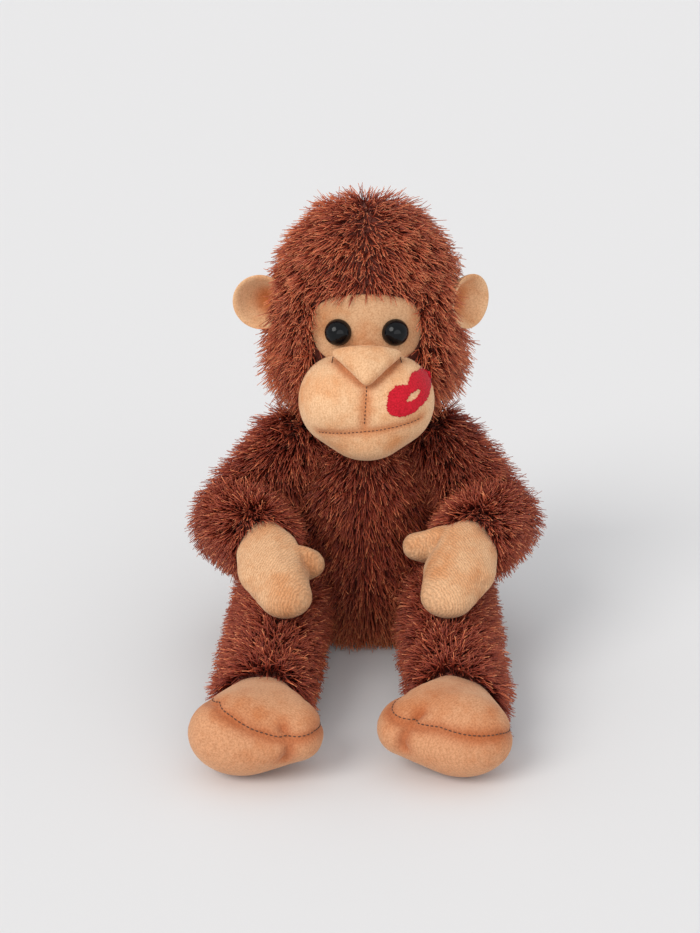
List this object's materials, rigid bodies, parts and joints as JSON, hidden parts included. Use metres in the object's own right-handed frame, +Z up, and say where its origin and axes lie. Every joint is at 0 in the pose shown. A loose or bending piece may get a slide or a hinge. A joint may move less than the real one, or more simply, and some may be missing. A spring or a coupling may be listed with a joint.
{
  "type": "stuffed monkey",
  "caption": "Seated plush monkey with auburn long-pile fur, tan velour face, ears, mitten hands and feet, black domed eyes and a red lip print on one cheek.",
  "frame": {"origin": "middle of the floor area that the seated toy covers", "axes": "+Z up, the face looks along -Y, the monkey's left side is at +X"},
  "size_m": [0.147, 0.2144, 0.2029],
  "materials": {
    "fur": "long shiny auburn pile, 10 mm, parted at the seams",
    "velour": "tan short-pile velour in fine ribs, with sheen",
    "fibre": "loose white polyester fibre",
    "pellet_cloth": "plain woven bag of pellets",
    "thread": "dark brown twisted sewing thread",
    "eye_plastic": "polished black",
    "washer_plastic": "natural moulded",
    "red_print": "red printed short pile"
  },
  "bodies": {
    "torso": {"torso_front_right": "fur", "torso_front_left": "fur", "torso_back_right": "fur", "torso_back_left": "fur", "torso_stuffing": "fibre", "pellet_bag": "pellet_cloth", "closing_stitches": "thread"},
    "neck": {"neck_sleeve": "fur", "neck_stuffing": "fibre"},
    "head": {"head_side_right": "fur", "head_side_left": "fur", "face_panel": "velour", "muzzle_right": "velour", "muzzle_left": "velour", "chin_panel": "velour", "head_stuffing": "fibre", "muzzle_stuffing": "fibre", "nose_fold": "velour", "nose_stitches": "thread", "mouth_stitches": "thread", "eye_right": "eye_plastic", "eye_left": "eye_plastic", "eye_right_washer": "washer_plastic", "eye_left_washer": "washer_plastic", "kiss_patch": "red_print"},
    "ear_right": {"ear_right_front": "velour", "ear_right_back": "velour"},
    "upper_arm_right_body": {"upper_arm_right": "fur", "upper_arm_stuffing_right": "fibre"},
    "forearm_right_body": {"forearm_right": "fur", "forearm_stuffing_right": "fibre"},
    "hand_right": {"hand_back_right": "velour", "hand_palm_right": "velour", "hand_stuffing_right": "fibre"},
    "leg_right": {"leg_sleeve_right": "fur", "leg_stuffing_right": "fibre"},
    "foot_right": {"foot_top_right": "velour", "foot_sole_right": "velour", "foot_stuffing_right": "fibre", "foot_stitches_right": "thread"},
    "ear_left": {"ear_left_front": "velour", "ear_left_back": "velour"},
    "upper_arm_left_body": {"upper_arm_left": "fur", "upper_arm_stuffing_left": "fibre"},
    "forearm_left_body": {"forearm_left": "fur", "forearm_stuffing_left": "fibre"},
    "hand_left": {"hand_back_left": "velour", "hand_palm_left": "velour", "hand_stuffing_left": "fibre"},
    "leg_left": {"leg_sleeve_left": "fur", "leg_stuffing_left": "fibre"},
    "foot_left": {"foot_top_left": "velour", "foot_sole_left": "velour", "foot_stuffing_left": "fibre", "foot_stitches_left": "thread"}
  },
  "joints": [
    {"name": "head_turn", "type": "hinge", "parent": "torso", "child": "neck", "pos_m": [0, 0.066, 0.1035], "axis": [0, 0, 1], "range_deg": [-20, 20], "stiffness_Nm_per_rad": 0.25},
    {"name": "head_nod", "type": "hinge", "parent": "neck", "child": "head", "pos_m": [0, 0.066, 0.1035], "axis": [1, 0, 0], "range_deg": [-12, 15], "stiffness_Nm_per_rad": 0.4},
    {"name": "shoulder_right", "type": "hinge", "parent": "torso", "child": "upper_arm_right_body", "pos_m": [-0.033, 0.066, 0.086], "axis": [-0.5, 0.866, 0], "range_deg": [0, 34], "stiffness_Nm_per_rad": 0.12},
    {"name": "elbow_right", "type": "hinge", "parent": "upper_arm_right_body", "child": "forearm_right_body", "pos_m": [-0.06, 0.05, 0.056], "axis": [-0.6885, -0.1631, 0.7066], "range_deg": [0, 15], "stiffness_Nm_per_rad": 0.08},
    {"name": "wrist_right", "type": "hinge", "parent": "forearm_right_body", "child": "hand_right", "pos_m": [-0.045, 0.004, 0.06], "axis": [-0.9514, -0.3078, 0], "range_deg": [0, 20], "stiffness_Nm_per_rad": 0.03},
    {"name": "ear_right_bend", "type": "hinge", "parent": "head", "child": "ear_right", "pos_m": [-0.0422, 0.066, 0.157], "axis": [0, 0, 1], "range_deg": [-15, 15], "stiffness_Nm_per_rad": 0.004},
    {"name": "shoulder_left", "type": "hinge", "parent": "torso", "child": "upper_arm_left_body", "pos_m": [0.033, 0.066, 0.086], "axis": [-0.5, -0.866, 0], "range_deg": [0, 34], "stiffness_Nm_per_rad": 0.12},
    {"name": "elbow_left", "type": "hinge", "parent": "upper_arm_left_body", "child": "forearm_left_body", "pos_m": [0.06, 0.05, 0.056], "axis": [-0.6885, 0.1631, -0.7066], "range_deg": [0, 15], "stiffness_Nm_per_rad": 0.08},
    {"name": "wrist_left", "type": "hinge", "parent": "forearm_left_body", "child": "hand_left", "pos_m": [0.045, 0.004, 0.06], "axis": [-0.9514, 0.3078, 0], "range_deg": [0, 20], "stiffness_Nm_per_rad": 0.03},
    {"name": "ear_left_bend", "type": "hinge", "parent": "head", "child": "ear_left", "pos_m": [0.0422, 0.066, 0.157], "axis": [0, 0, 1], "range_deg": [-15, 15], "stiffness_Nm_per_rad": 0.004},
    {"name": "hip_right", "type": "hinge", "parent": "torso", "child": "leg_right", "pos_m": [-0.037, 0.056, 0.018], "axis": [0.9986, -0.0523, 0], "range_deg": [0, 45], "stiffness_Nm_per_rad": 0.2},
    {"name": "ankle_right", "type": "hinge", "parent": "leg_right", "child": "foot_right", "pos_m": [-0.04338, -0.06583, 0.017], "axis": [0.9994, -0.0349, 0], "range_deg": [-12, 12], "stiffness_Nm_per_rad": 0.05},
    {"name": "hip_left", "type": "hinge", "parent": "torso", "child": "leg_left", "pos_m": [0.037, 0.056, 0.018], "axis": [1, 0, 0], "range_deg": [0, 45], "stiffness_Nm_per_rad": 0.2},
    {"name": "ankle_left", "type": "hinge", "parent": "leg_left", "child": "foot_left", "pos_m": [0.037, -0.066, 0.017], "axis": [0.9703, -0.2419, 0], "range_deg": [-12, 12], "stiffness_Nm_per_rad": 0.05}
  ]
}
